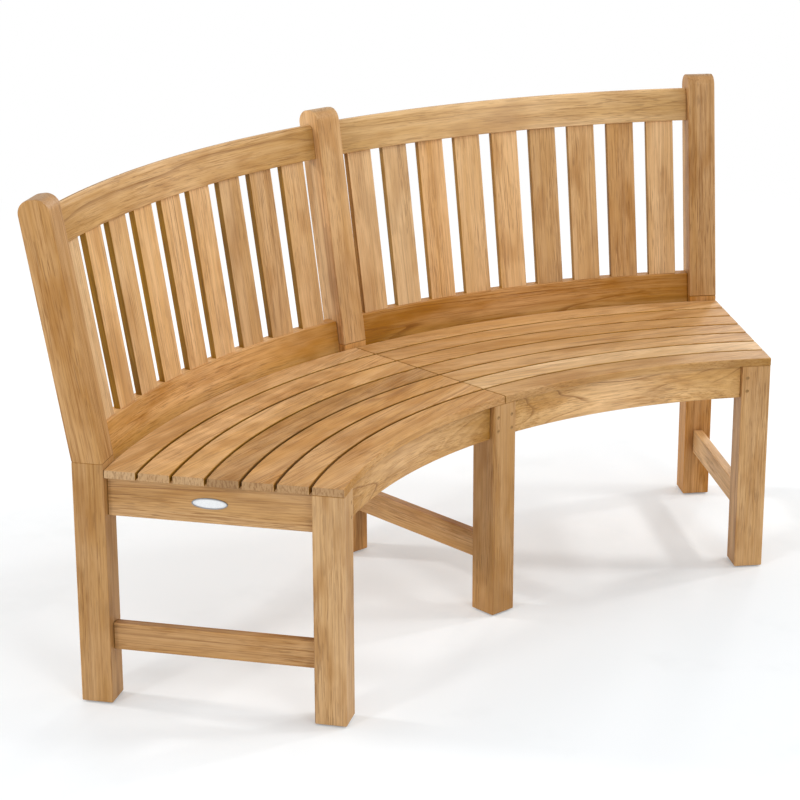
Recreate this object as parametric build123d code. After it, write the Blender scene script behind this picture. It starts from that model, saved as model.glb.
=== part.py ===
from build123d import *
import os
from math import cos, radians, sin

# Curved teak garden bench: three frames standing on radii of one arc, joined by two curved bays.
# Units are millimetres, +Z is up and the seat side faces -Y.
# A radius is measured from the vertical line through the arc's centre, in front of the bench.
# Left and right are as seen from the front, so left is -X.

# Plan and heights
front_radius = 942
half_sweep = 34.5
seat_height = 443
overall_height = 914
back_rake = 9.8

# Legs and posts
leg_width = 57
leg_depth = 58
leg_edge_radius = 2.5
leg_foot_chamfer = 2
post_joint_rise = 10
post_top_radius = 24.5

# Seat slats
seat_slat_count = 7
seat_slat_width = 57
seat_slat_gap = 5
seat_slat_thickness = 15
seat_slat_edge_radius = 2.5
seat_seam_gap = 1
seat_post_gap = 1

# Straight members of each frame
bearer_thickness = 24
bearer_height = 74
stretcher_thickness = 20
stretcher_height = 50
stretcher_foot_height = 100
member_edge_radius = 2

# Curved aprons under the seat
apron_thickness = 27
front_apron_height = 68
front_apron_recess = 11
rear_apron_height = 74

# Back rails and back slats
back_rail_thickness = 27
back_rail_recess = 17
top_rail_height = 68
top_rail_drop = 29
top_rail_nose_radius = 11
bottom_rail_rise = 55
back_slat_count = 9
back_slat_width = 59
back_slat_thickness = 13
back_slat_edge_radius = 1.5
back_slat_housing = 12

# Joinery
tenon_thickness = 12
tenon_length = 22
tenon_top_shoulder = 14
tenon_bottom_shoulder = 6
rail_tenon_shoulder = 10
post_tenon_length = 28
post_tenon_shoulder = 14
joint_clearance = 0.2
end_clearance = 0.3

# Wooden pins: pegs through the apron tenons and dowels under the seat slats
pin_radius = 4
peg_length = 38
peg_spacing = 27
dowel_rise = 10
dowel_depth = 12
middle_dowel_offset = 6

# Battens that tie the seat slats together halfway along each bay, and their screws
batten_width = 45
batten_thickness = 22
screw_shank_radius = 2.25
screw_head_radius = 4.5
screw_head_thickness = 3
screw_bite = 9

# Glides under the feet
glide_thickness = 3
glide_radius = 20
glide_edge_radius = 1
glide_pin_radius = 4
glide_pin_length = 16

# Blank oval plate on the left end
plate_length = 65
plate_height = 20
plate_thickness = 1.2
plate_rim_width = 1.5
plate_rim_rise = 0.5

# Sizes worked out from the driving ones
seat_underside = seat_height - seat_slat_thickness
slat_pitch = seat_slat_width + seat_slat_gap
seat_depth = seat_slat_count * slat_pitch - seat_slat_gap
front_leg_back = front_radius + leg_depth
rear_leg_front = front_radius + seat_depth + seat_post_gap
rear_leg_back = rear_leg_front + leg_depth
post_joint_height = seat_height + post_joint_rise
rake_sine = sin(radians(back_rake))
rake_cosine = cos(radians(back_rake))
post_thickness = leg_depth * rake_cosine
half_leg = leg_width / 2
front_apron_front = front_radius + front_apron_recess
rear_apron_front = rear_leg_front + back_rail_recess


def rake_height(inset, height):
    """Distance up the rake at which a line this far behind the post's front face reaches a height."""
    return (height - post_joint_height + inset * rake_sine) / rake_cosine


def raked(inset, along):
    """Radius and height of a point in the plane of a frame, given square to and along the rake."""
    radius = rear_leg_front + along * rake_sine + inset * rake_cosine
    return radius, post_joint_height + along * rake_cosine - inset * rake_sine


# How far a rounded corner lowers the highest point of a raked bar
corner_loss_share = rake_cosine + rake_sine - 1
post_top = rake_height(0, overall_height + post_top_radius * corner_loss_share)
rail_top_height = overall_height - top_rail_drop + top_rail_nose_radius * corner_loss_share
rail_back = back_rail_recess + back_rail_thickness
rail_middle = back_rail_recess + back_rail_thickness / 2
top_rail_top = rake_height(back_rail_recess, rail_top_height)
top_rail_bottom = top_rail_top - top_rail_height
bottom_rail_top_height = seat_height + bottom_rail_rise
bottom_rail_top = rake_height(back_rail_recess, bottom_rail_top_height)


def block(across, outward, upward, grow=0):
    """Plain block between three pairs of limits, grown on every side by a clearance."""
    limits = (across, outward, upward)
    sizes = [high - low + 2 * grow for low, high in limits]
    centre = [(low + high) / 2 for low, high in limits]
    return Pos(*centre) * Box(*sizes)


def eased_bar(across, outward, upward, edge_radius, along=Axis.Z):
    """Block with the four edges that run along it rounded."""
    bar = block(across, outward, upward)
    return fillet(bar.edges().filter_by(along), edge_radius)


def on_frame(solid, side=1):
    """Carry a solid from the middle frame's plane to the right (1) or left (-1) end frame."""
    return Rot(0, 0, -side * half_sweep) * solid


def on_bay(solid, distance, radius):
    """Carry a solid from the middle frame's plane to a distance along the right bay's arc."""
    return Rot(0, 0, -distance / radius / radians(1)) * solid


def on_rake(solid):
    """Carry a solid from upright to the lean of the posts, its zero on the front edge of the joint."""
    return Pos(0, rear_leg_front, post_joint_height) * Rot(-back_rake, 0, 0) * solid


def bay_arc(section, start_inset, end_inset):
    """Sweep a radius-and-height section round the right bay.

    The ends are cut parallel to the frames: start_inset to the right of the middle frame's plane,
    and end_inset to the right of the right frame's plane.
    """
    extra = 2 * leg_width / front_radius / radians(1)
    ring = revolve(Plane.XZ * section, Axis.Z, half_sweep + 2 * extra)
    ring = Rot(0, 0, 90 - half_sweep - extra) * ring
    ring = split(ring, Plane(origin=(start_inset, 0, 0), z_dir=(1, 0, 0)), keep=Keep.TOP)
    ring = on_frame(ring, -1)
    ring = split(ring, Plane(origin=(end_inset, 0, 0), z_dir=(-1, 0, 0)), keep=Keep.TOP)
    return on_frame(ring, 1)


def upright_section(inner, outer, low, high, low_radius=0, high_radius=0):
    """Rectangular section with its lower or upper corners rounded."""
    face = make_face(Polyline((inner, low), (outer, low), (outer, high), (inner, high), close=True))
    corners = face.vertices().sort_by(Axis.Y)
    if low_radius:
        face = fillet(corners[:2], low_radius)
    if high_radius:
        face = fillet(face.vertices().sort_by(Axis.Y)[-2:], high_radius)
    return face


# Joints: each returns the blocks of a tenon, or of its mortise when grown
def apron_tenon(front, low, high, grow=0, reach=0):
    """Tenon of a curved apron in the right-hand face of a leg."""
    middle = front + apron_thickness / 2
    outward = (middle - tenon_thickness / 2, middle + tenon_thickness / 2)
    upward = (low + tenon_bottom_shoulder, high - tenon_top_shoulder)
    return block((half_leg - tenon_length, half_leg + reach), outward, upward, grow)


def front_apron_tenon(grow=0, reach=0):
    """Tenon of the front apron in the right-hand face of a front leg."""
    return apron_tenon(front_apron_front, seat_underside - front_apron_height, seat_underside, grow, reach)


def rear_apron_tenon(grow=0, reach=0):
    """Tenon of the rear apron in the right-hand face of a rear leg."""
    return apron_tenon(rear_apron_front, seat_underside - rear_apron_height, seat_underside, grow, reach)


def back_rail_tenon(low, high, grow=0, reach=0):
    """Tenon of a back rail in the right-hand face of a post, between two places up the rake."""
    outward = (rail_middle - tenon_thickness / 2, rail_middle + tenon_thickness / 2)
    upward = (low + rail_tenon_shoulder, high - rail_tenon_shoulder)
    return on_rake(block((half_leg - tenon_length, half_leg + reach), outward, upward, grow))


def top_rail_tenon(grow=0, reach=0):
    """Tenon of the top rail."""
    return back_rail_tenon(top_rail_bottom, top_rail_top, grow, reach)


def bottom_rail_tenon(grow=0, reach=0):
    """Tenon of the bottom rail, which starts above the joint between leg and post."""
    return back_rail_tenon(0, bottom_rail_top, grow, reach)


def bearer_tenons(low, high, grow=0):
    """Tenons at the front and rear ends of a straight member of a frame."""
    across = (-tenon_thickness / 2, tenon_thickness / 2)
    upward = (low, high)
    front = block(across, (front_leg_back - tenon_length, front_leg_back), upward, grow)
    rear = block(across, (rear_leg_front, rear_leg_front + tenon_length), upward, grow)
    return front, rear


def seat_bearer_tenons(grow=0):
    """Tenons of a seat bearer."""
    low = seat_underside - bearer_height + tenon_bottom_shoulder
    return bearer_tenons(low, seat_underside - tenon_top_shoulder, grow)


def stretcher_tenons(grow=0):
    """Tenons of a low stretcher."""
    low = stretcher_foot_height + tenon_bottom_shoulder
    high = stretcher_foot_height + stretcher_height - tenon_bottom_shoulder
    return bearer_tenons(low, high, grow)


def post_tenon(grow=0):
    """Tenon at the foot of a post, in the top of the rear leg."""
    across = (-half_leg + post_tenon_shoulder, half_leg - post_tenon_shoulder)
    outward = (rear_leg_front + post_tenon_shoulder, rear_leg_back - post_tenon_shoulder)
    return block(across, outward, (post_joint_height - post_tenon_length, post_joint_height), grow)


def peg_places():
    """Heights of the two pegs through an apron tenon."""
    low = seat_underside - front_apron_height + tenon_bottom_shoulder
    middle = (low + seat_underside - tenon_top_shoulder) / 2
    return middle - peg_spacing / 2, middle + peg_spacing / 2


def pegs(grow=0):
    """Pegs through the apron tenon on the right-hand side of a front leg."""
    across = half_leg - tenon_length / 2
    middle = front_radius + peg_length / 2
    pin = Rot(90, 0, 0) * Cylinder(pin_radius + grow, peg_length + 2 * grow)
    return [Pos(across, middle, height) * pin for height in peg_places()]


def slat_middle(index):
    """Radius of the middle of a seat slat, counted from the front."""
    return front_radius + index * slat_pitch + seat_slat_width / 2


def dowels(across, grow=0):
    """Dowels that hold the seat slats to one frame, this far to the right of its plane."""
    length = dowel_rise + dowel_depth + 2 * grow
    height = seat_underside + (dowel_rise - dowel_depth) / 2
    pin = Cylinder(pin_radius + grow, length)
    return [Pos(across, slat_middle(index), height) * pin for index in range(seat_slat_count)]


def glide_pin(radius, grow=0):
    """Pin of a glide in the foot of a leg whose middle is at a radius."""
    length = glide_pin_length + grow
    return Pos(0, radius, glide_thickness + length / 2) * Cylinder(glide_pin_radius + grow, length)


def facing(solid, side):
    """A solid as it stands (1), or its mirror image in the middle frame's plane (-1)."""
    return solid if side == 1 else mirror(solid, Plane.YZ)


def both_halves(solids):
    """Solids of the right half, followed by their mirror images for the left half."""
    return [facing(solid, side) for side in (1, -1) for solid in solids]


# Frames
def foot(front, top):
    """Leg from its glide to its top, with eased edges and a chamfered foot."""
    across = (-half_leg, half_leg)
    leg = eased_bar(across, (front, front + leg_depth), (glide_thickness, top), leg_edge_radius)
    leg = chamfer(leg.faces().sort_by(Axis.Z)[0].edges(), leg_foot_chamfer)
    return leg - glide_pin(front + leg_depth / 2, joint_clearance)


def front_leg(sides, dowel_places):
    """Front leg with mortises and peg holes for the aprons on its right (1) and left (-1) sides."""
    leg = foot(front_radius, seat_underside)
    leg -= seat_bearer_tenons(joint_clearance)[0]
    leg -= stretcher_tenons(joint_clearance)[0]
    for side in sides:
        leg -= facing(front_apron_tenon(joint_clearance), side)
        leg -= [facing(peg, side) for peg in pegs(joint_clearance)]
    for across in dowel_places:
        leg -= dowels(across, joint_clearance)
    return leg


def rear_leg(sides):
    """Rear leg with mortises for the rear aprons on its right (1) and left (-1) sides."""
    leg = foot(rear_leg_front, post_joint_height)
    leg -= seat_bearer_tenons(joint_clearance)[1]
    leg -= stretcher_tenons(joint_clearance)[1]
    leg -= post_tenon(joint_clearance)
    for side in sides:
        leg -= facing(rear_apron_tenon(joint_clearance), side)
    return leg


def post(sides):
    """Raked post with a rounded top and mortises for the back rails on the given sides."""
    foot_corners = (raked(0, 0), (rear_leg_back, post_joint_height))
    corners = (*foot_corners, raked(post_thickness, post_top), raked(0, post_top))
    outline = make_face(Polyline(*corners, close=True))
    outline = fillet(outline.vertices().sort_by(Axis.Y)[-2:], post_top_radius)
    solid = extrude(Plane.YZ * outline, half_leg, both=True)
    faces = solid.faces().sort_by(Axis.X)
    long_edges = [edge for face in (faces[0], faces[-1]) for edge in face.edges().sort_by(Axis.Z)[1:]]
    solid = fillet(long_edges, leg_edge_radius)
    solid += post_tenon()
    for side in sides:
        solid -= facing(top_rail_tenon(joint_clearance), side)
        solid -= facing(bottom_rail_tenon(joint_clearance), side)
    return solid


def straight_member(thickness, low, high, tenons):
    """Straight bar between a front leg and a rear leg, with a tenon at each end."""
    across = (-thickness / 2, thickness / 2)
    bar = eased_bar(across, (front_leg_back, rear_leg_front), (low, high), member_edge_radius, Axis.Y)
    return bar + list(tenons)


def seat_bearer(dowel_places):
    """Bearer under the ends of the seat slats, drilled for their dowels."""
    low = seat_underside - bearer_height
    bearer = straight_member(bearer_thickness, low, seat_underside, seat_bearer_tenons())
    for across in dowel_places:
        bearer -= dowels(across, joint_clearance)
    return bearer


def stretcher():
    """Low stretcher of a frame."""
    top = stretcher_foot_height + stretcher_height
    return straight_member(stretcher_thickness, stretcher_foot_height, top, stretcher_tenons())


# Curved members of the right bay
def tenoned(body, tenon):
    """Curved member whose ends meet the facing sides of two frames, with the same tenon at each end."""
    left_end = tenon(0, tenon_thickness)
    right_end = on_frame(facing(tenon(0, tenon_thickness), -1))
    return body + [left_end, right_end]


def curved_apron(front, height, tenon):
    """Curved apron under the seat."""
    low = seat_underside - height
    section = upright_section(front, front + apron_thickness, low, seat_underside, member_edge_radius)
    return tenoned(bay_arc(section, half_leg, -half_leg), tenon)


def front_apron():
    """Front apron of the bay, drilled for its pegs."""
    apron = curved_apron(front_apron_front, front_apron_height, front_apron_tenon)
    apron -= pegs(joint_clearance)
    return apron - [on_frame(facing(peg, -1)) for peg in pegs(joint_clearance)]


def rear_apron():
    """Hidden apron between the rear legs of the bay, under the bottom back rail."""
    return curved_apron(rear_apron_front, rear_apron_height, rear_apron_tenon)


def slat_places():
    """Distances along the bay's arc of the back slats, which leave equal gaps, and that arc's radius."""
    radius = raked(rail_middle, (bottom_rail_top + top_rail_bottom) / 2)[0]
    free = radius * radians(half_sweep) - leg_width
    gap = (free - back_slat_count * back_slat_width) / (back_slat_count + 1)
    first = half_leg + gap + back_slat_width / 2
    return [first + index * (back_slat_width + gap) for index in range(back_slat_count)], radius


def back_slat(distance, radius, grow=0):
    """Flat back slat housed in both rails, or the room for it when grown."""
    across = (-back_slat_width / 2, back_slat_width / 2)
    outward = (rail_middle - back_slat_thickness / 2, rail_middle + back_slat_thickness / 2)
    upward = (bottom_rail_top - back_slat_housing, top_rail_bottom + back_slat_housing)
    if grow:
        slat = block(across, outward, upward, grow)
    else:
        slat = eased_bar(across, outward, upward, back_slat_edge_radius)
    return on_bay(on_rake(slat), distance, radius)


def housings():
    """Room for the ends of all the back slats of the bay."""
    distances, radius = slat_places()
    return [back_slat(distance, radius, joint_clearance) for distance in distances]


def top_rail():
    """Top back rail with a rounded nose along both upper edges."""
    low, high = top_rail_bottom, top_rail_top
    inner, outer = back_rail_recess, rail_back
    corners = (raked(inner, low), raked(outer, low), raked(outer, high), raked(inner, high))
    face = make_face(Polyline(*corners, close=True))
    face = fillet(face.vertices().sort_by(Axis.Y)[-2:], top_rail_nose_radius)
    face = fillet(face.vertices().sort_by(Axis.Y)[:2], member_edge_radius)
    return tenoned(bay_arc(face, half_leg, -half_leg), top_rail_tenon) - housings()


def bottom_rail():
    """Bottom back rail, level above and below, where it stands on the rear apron."""
    inner, outer = back_rail_recess, rail_back
    inner_low = raked(inner, rake_height(inner, seat_underside))
    outer_low = raked(outer, rake_height(outer, seat_underside))
    outer_high = raked(outer, rake_height(outer, bottom_rail_top_height))
    corners = (inner_low, outer_low, outer_high, raked(inner, bottom_rail_top))
    face = make_face(Polyline(*corners, close=True))
    face = fillet(face.vertices().sort_by(Axis.Y)[-2:], member_edge_radius)
    return tenoned(bay_arc(face, half_leg, -half_leg), bottom_rail_tenon) - housings()


def seat_slat(index):
    """Curved seat slat, counted from the front, with its dowel and screw holes."""
    inner = front_radius + index * slat_pitch
    outer = inner + seat_slat_width
    section = upright_section(inner, outer, seat_underside, seat_height, 0, seat_slat_edge_radius)
    slat = bay_arc(section, seat_seam_gap / 2, half_leg)
    slat -= dowels(middle_dowel_offset, joint_clearance)[index]
    slat -= on_frame(dowels(0, joint_clearance)[index])
    return slat - batten_screws(joint_clearance)


def half_way(solid):
    """Carry a solid from the middle frame's plane to halfway along the right bay."""
    return Rot(0, 0, -half_sweep / 2) * solid


def batten():
    """Batten under the seat slats halfway along the bay, drilled for its screws."""
    inner = front_apron_front + apron_thickness + end_clearance
    outer = rear_apron_front - end_clearance
    low = seat_underside - batten_thickness
    bar = block((-batten_width / 2, batten_width / 2), (front_radius, rear_leg_back), (low, seat_underside))
    between_aprons = bay_arc(upright_section(inner, outer, low, seat_underside), half_leg, -half_leg)
    return (half_way(bar) & between_aprons) - batten_screws(joint_clearance)


def batten_screws(grow=0):
    """Screws driven up through the batten, one into each seat slat behind the front one."""
    low = seat_underside - batten_thickness
    shank_length = batten_thickness + screw_bite
    shank = Pos(0, 0, low + shank_length / 2) * Cylinder(screw_shank_radius + grow, shank_length + 2 * grow)
    head = Pos(0, 0, low - screw_head_thickness / 2) * Cylinder(screw_head_radius, screw_head_thickness)
    screw = shank if grow else shank + head
    return [half_way(Pos(0, slat_middle(index), 0) * screw) for index in range(1, seat_slat_count)]


# Fittings
def glide(radius):
    """Round glide with a pin into the foot of a leg."""
    disc = Pos(0, radius, glide_thickness / 2) * Cylinder(glide_radius, glide_thickness)
    disc = chamfer(disc.edges().sort_by(Axis.Z)[0], glide_edge_radius)
    return disc + glide_pin(radius)


def end_plate():
    """Blank oval plate with a raised rim, on the right-hand face of a seat bearer."""
    middle_radius = (front_leg_back + rear_leg_front) / 2
    place = Pos(bearer_thickness / 2, middle_radius, seat_underside - bearer_height / 2)
    whole = Ellipse(plate_length / 2, plate_height / 2)
    field = Ellipse(plate_length / 2 - plate_rim_width, plate_height / 2 - plate_rim_width)
    plate = extrude(Plane.YZ * whole, plate_thickness)
    rim = extrude(Plane.YZ * (whole - field), plate_thickness + plate_rim_rise)
    return place * (plate + rim)


# Assembly: every node by name
distances, slat_arc_radius = slat_places()
middle_offsets = (middle_dowel_offset, -middle_dowel_offset)
right_half = {
    "end_front_leg": on_frame(front_leg((-1,), (0,))),
    "end_rear_leg": on_frame(rear_leg((-1,))),
    "end_post": on_frame(post((-1,))),
    "side_apron": on_frame(seat_bearer((0,))),
    "end_stretcher": on_frame(stretcher()),
    "front_apron": front_apron(),
    "rear_apron": rear_apron(),
    "top_back_rail": top_rail(),
    "bottom_back_rail": bottom_rail(),
}
for index in range(seat_slat_count):
    right_half[f"seat_slat_{index + 1}"] = seat_slat(index)
for index, distance in enumerate(distances):
    right_half[f"back_slat_{index + 1}"] = back_slat(distance, slat_arc_radius)

nodes = {
    "middle_front_leg": front_leg((1, -1), middle_offsets),
    "middle_rear_leg": rear_leg((1, -1)),
    "middle_post": post((1, -1)),
    "middle_bearer": seat_bearer(middle_offsets),
    "middle_stretcher": stretcher(),
}
for name, solid in right_half.items():
    nodes[f"right_{name}"] = solid
    nodes[f"left_{name}"] = facing(solid, -1)

bay_pins = [*pegs(), *[on_frame(facing(peg, -1)) for peg in pegs()]]
bay_pins += [*dowels(middle_dowel_offset), *[on_frame(dowel) for dowel in dowels(0)]]
nodes["wooden_pins"] = both_halves(bay_pins)
nodes["seat_battens"] = both_halves([batten()])
nodes["batten_screws"] = both_halves(batten_screws())
leg_middles = (front_radius + leg_depth / 2, rear_leg_front + leg_depth / 2)
nodes["foot_glides"] = [on_frame(glide(radius), side) for side in (1, 0, -1) for radius in leg_middles]
nodes["end_plate"] = facing(on_frame(end_plate()), -1)

# The origin is on the floor under the middle of the whole bench
for name, solid in nodes.items():
    if isinstance(solid, list):
        nodes[name] = Compound(children=[piece for whole in solid for piece in whole.solids()])
boxes = [solid.bounding_box() for solid in nodes.values()]
middle_y = (min(box.min.Y for box in boxes) + max(box.max.Y for box in boxes)) / 2

os.makedirs("parts", exist_ok=True)
for name, solid in nodes.items():
    export_step(Pos(0, -middle_y, 0) * solid, f"parts/{name}.step")
print("nodes", len(nodes), "arc centre at y", -middle_y)
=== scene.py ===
"""Curved teak garden bench: its boards, fittings, finishes, camera and light.

Every length is in metres. +Z is up, the seat side faces -Y, and left is -X. Sizes follow the
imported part. A radius is measured from the vertical line through the centre of the bench's arc,
and the pieces are worked out round that line before they are moved to their places.
"""

from __future__ import annotations

import logging
from dataclasses import dataclass, field, replace
from enum import Enum
from functools import reduce
from typing import Sequence

import bpy
import numpy as np
from mathutils import Matrix, Vector

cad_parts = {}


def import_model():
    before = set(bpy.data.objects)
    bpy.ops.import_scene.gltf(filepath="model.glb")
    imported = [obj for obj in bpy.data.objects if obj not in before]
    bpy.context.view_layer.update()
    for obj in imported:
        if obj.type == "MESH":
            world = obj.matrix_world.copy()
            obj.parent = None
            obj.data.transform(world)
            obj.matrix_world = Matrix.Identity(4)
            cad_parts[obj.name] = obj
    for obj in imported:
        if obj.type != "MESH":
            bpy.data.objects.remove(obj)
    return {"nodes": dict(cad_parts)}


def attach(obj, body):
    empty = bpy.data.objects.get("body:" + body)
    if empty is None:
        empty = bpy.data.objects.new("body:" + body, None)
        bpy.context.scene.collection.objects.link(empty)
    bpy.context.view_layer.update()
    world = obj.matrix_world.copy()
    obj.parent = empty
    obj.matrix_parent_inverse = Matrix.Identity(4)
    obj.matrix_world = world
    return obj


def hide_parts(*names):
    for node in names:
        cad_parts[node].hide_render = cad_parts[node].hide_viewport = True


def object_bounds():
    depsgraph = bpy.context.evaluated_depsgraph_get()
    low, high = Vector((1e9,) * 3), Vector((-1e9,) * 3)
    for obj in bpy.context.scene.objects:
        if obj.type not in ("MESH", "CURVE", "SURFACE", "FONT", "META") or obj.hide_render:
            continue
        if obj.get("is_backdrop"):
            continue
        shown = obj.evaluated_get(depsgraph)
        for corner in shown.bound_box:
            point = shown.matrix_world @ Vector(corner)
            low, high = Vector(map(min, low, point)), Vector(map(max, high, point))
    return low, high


Pair = tuple[float, float]
Triple = tuple[float, float, float]
Colour = tuple[float, float, float, float]
Socket = bpy.types.NodeSocket

MILLIMETRE = 0.001
ACROSS, OUTWARD, UP = np.eye(3)
# How far the wear and painted edge highlight reach past a rounded corner, and the lean below
# which a section counts as level.
WEAR_REACH = 0.004
LEVEL_LEAN = 0.01
log = logging.getLogger("bench")


class Side(Enum):
    """Which frame or bay of the bench a piece belongs to, as seen from the front."""

    LEFT = -1
    MIDDLE = 0
    RIGHT = 1


class Cut(Enum):
    """How a board was sawn from its log: the swing from flat sawn in radians, and its figure."""

    FLAT = (0.22, 0.8)
    RIFT = (0.75, 0.5)
    QUARTER = (1.4, 0.35)
    WAVY = (0.15, 1.3)
    STRIPED = (1.0, 1.3)


class Shade(Enum):
    """Tone and warmth of a board's wood, each 0 for the usual wood."""

    CREAM = (0.18, -1.7)
    PALE = (0.12, -0.6)
    BRIGHT = (0.23, -0.5)
    GOLDEN = (0.12, 0.1)
    HONEY = (0.18, 0.9)
    PLAIN = (0.0, 0.0)
    AMBER = (-0.04, 0.7)
    DULL = (-0.10, 0.2)
    BROWN = (-0.24, 0.9)
    RUSSET = (-0.10, 2.0)


# Boards whose shade stands out in the photograph; the others are plain.
SHADED_BOARDS: dict[Shade, str] = {
    Shade.CREAM: "left_back_slat_9 right_back_slat_2 right_seat_slat_2 right_top_back_rail",
    Shade.PALE: "left_back_slat_1 left_back_slat_7 left_top_back_rail right_end_stretcher "
    "right_back_slat_1 right_back_slat_4 right_back_slat_9",
    Shade.BRIGHT: "left_back_slat_4 left_back_slat_5 left_back_slat_6 left_back_slat_8 "
    "left_seat_slat_7 right_back_slat_5 right_front_apron",
    Shade.GOLDEN: "left_seat_slat_5 left_seat_slat_6 right_back_slat_3 right_seat_slat_7",
    Shade.HONEY: "left_bottom_back_rail middle_rear_leg",
    Shade.AMBER: "left_seat_slat_1 left_seat_slat_2 left_seat_slat_3 middle_stretcher "
    "right_back_slat_8 right_seat_slat_4 right_seat_slat_5 right_seat_slat_6",
    Shade.DULL: "left_end_front_leg left_side_apron right_end_front_leg right_seat_slat_1",
    Shade.BROWN: "left_end_post left_end_rear_leg left_end_stretcher left_seat_slat_4 "
    "middle_front_leg right_end_post",
    Shade.RUSSET: "right_bottom_back_rail right_end_rear_leg",
}
SHADES = {name: shade for shade, names in SHADED_BOARDS.items() for name in names.split()}


@dataclass(frozen=True)
class Plan:
    """Sizes that all the pieces share."""

    centre_y: float = -1.1323115
    sweep_degrees: float = 34.5
    rake_degrees: float = 9.8
    front_radius: float = 0.942
    seat_height: float = 0.443
    overall_height: float = 0.914
    leg_width: float = 0.057
    leg_depth: float = 0.058
    joint_rise: float = 0.010
    joint_edge: float = 0.002
    # Painted shade on the rounded ends of members, in the creases where they meet the legs and
    # posts.
    joint_shade: Pair = (2.2, 2.2)
    slat_count: int = 7
    slat_width: float = 0.057
    slat_gap: float = 0.005
    slat_thickness: float = 0.015
    post_gap: float = 0.001

    @property
    def sweep(self) -> float:
        """Angle between two frames in radians."""
        return float(np.radians(self.sweep_degrees))

    @property
    def sine(self) -> float:
        """Sine of the rake."""
        return float(np.sin(np.radians(self.rake_degrees)))

    @property
    def cosine(self) -> float:
        """Cosine of the rake."""
        return float(np.cos(np.radians(self.rake_degrees)))

    @property
    def half_leg(self) -> float:
        """Half the width of a leg."""
        return self.leg_width / 2

    @property
    def seat_underside(self) -> float:
        """Height of the underside of the seat slats."""
        return self.seat_height - self.slat_thickness

    @property
    def joint_height(self) -> float:
        """Height of the joint between a rear leg and its post."""
        return self.seat_height + self.joint_rise

    @property
    def rear_leg_front(self) -> float:
        """Radius of the front face of a rear leg."""
        return self.slat_front(self.slat_count) - self.slat_gap + self.post_gap

    def slat_front(self, index: int) -> float:
        """Radius of the front edge of a seat slat, counted from 0 at the front."""
        return self.front_radius + index * (self.slat_width + self.slat_gap)

    def corner_loss(self, radius: float) -> float:
        """Height that a raked top loses when its corners are rounded."""
        return radius * (self.cosine + self.sine - 1)

    def raked(self, inset: float, along: float) -> Pair:
        """Radius and height of a point given square to and along the rake.

        Args:
            inset: Distance behind the front face of the post, square to it.
            along: Distance up the rake from the front edge of the joint.

        Returns:
            The radius and the height.
        """
        radius = self.rear_leg_front + along * self.sine + inset * self.cosine
        return radius, self.joint_height + along * self.cosine - inset * self.sine

    def rake_height(self, inset: float, height: float) -> float:
        """Distance up the rake at which a line behind the post's front face reaches a height."""
        return (height - self.joint_height + inset * self.sine) / self.cosine

    def leaning(self, outward: np.ndarray, up: np.ndarray) -> tuple[np.ndarray, np.ndarray]:
        """Directions up the rake and backwards, square to it."""
        return self.sine * outward + self.cosine * up, self.cosine * outward - self.sine * up


PLAN = Plan()


def directions(angle: float) -> np.ndarray:
    """Directions across a plane turned to the right, out along its radius, and up, as rows."""
    sine, cosine = np.sin(angle), np.cos(angle)
    return np.array([[cosine, -sine, 0], [sine, cosine, 0], [0, 0, 1]])


@dataclass(frozen=True)
class Outline:
    """Closed section of a board, anticlockwise, with rounded corners.

    Beside its points it holds their normals, the directions in which they are drawn in where an
    end is rounded, and the wear of the edges, which the finish paints lighter as worn wood and as
    a painted highlight.
    """

    points: np.ndarray
    normals: np.ndarray
    pulls: np.ndarray
    ease: np.ndarray

    @classmethod
    def polygon(cls, corners: Sequence[Pair], radii: Sequence[float], steps: int = 6) -> "Outline":
        """Round the corners of a convex polygon.

        With n and m the outward normals of the two sides at a corner C, the arc's centre is
        C - R (n + m) / (1 + n.m), and its points are the centre plus R times a normal that turns
        from n to m. The wear at a share s of the arc is (1 + sin(pi s)) / 2, and a point on each
        flat, a short way from the arc, ends it.

        Args:
            corners: The corners, anticlockwise.
            radii: The radius at each corner.
            steps: How many points make each arc.

        Returns:
            The outline.
        """
        corner, radius = np.array(corners, float), np.array(radii, float)[:, None]
        side = np.roll(corner, -1, 0) - corner
        length = np.linalg.norm(side, axis=1, keepdims=True)
        along = side / length
        leaving = np.stack([along[:, 1], -along[:, 0]], 1)
        entering = np.roll(leaving, 1, 0)
        closeness = 1 + (entering * leaving).sum(1, keepdims=True)
        centre = corner - radius * (entering + leaving) / closeness
        start = np.arctan2(entering[:, 1], entering[:, 0])
        turn = np.mod(np.arctan2(leaving[:, 1], leaving[:, 0]) - start, 2 * np.pi)
        share = np.linspace(0, 1, steps)
        angle = start[:, None] + turn[:, None] * share
        bend = np.stack([np.cos(angle), np.sin(angle)], -1)
        arc = centre[:, None] + radius[:, None] * bend
        lead = along * np.minimum(WEAR_REACH, length / 4)
        before = arc[:, :1] - np.roll(lead, 1, 0)[:, None]
        points = np.concatenate([before, arc, arc[:, -1:] + lead[:, None]], 1).reshape(-1, 2)
        normals = np.concatenate([bend[:, :1], bend, bend[:, -1:]], 1).reshape(-1, 2)
        worn = (1 + np.sin(np.pi * share)) / 2
        return cls(points, normals, normals, np.tile([0, *worn, 0], len(corner)))

    @classmethod
    def bar(cls, across: Pair, up: Pair, low_radius: float, high_radius: float) -> "Outline":
        """Rounded rectangle.

        Args:
            across: The two limits of the first coordinate.
            up: The two limits of the second coordinate.
            low_radius: Radius of the two lower corners.
            high_radius: Radius of the two upper corners.

        Returns:
            The outline.
        """
        (left, right), (low, high) = across, up
        corners = [(left, low), (right, low), (right, high), (left, high)]
        return cls.polygon(corners, [low_radius, low_radius, high_radius, high_radius])

    @classmethod
    def circle(cls, radius: float, count: int = 24) -> "Outline":
        """Circle without wear.

        Args:
            radius: Its radius.
            count: How many points make it.

        Returns:
            The outline.
        """
        angle = np.arange(count) * 2 * np.pi / count
        normals = np.stack([np.cos(angle), np.sin(angle)], -1)
        return cls(radius * normals, normals, normals, np.zeros(count))


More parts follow.
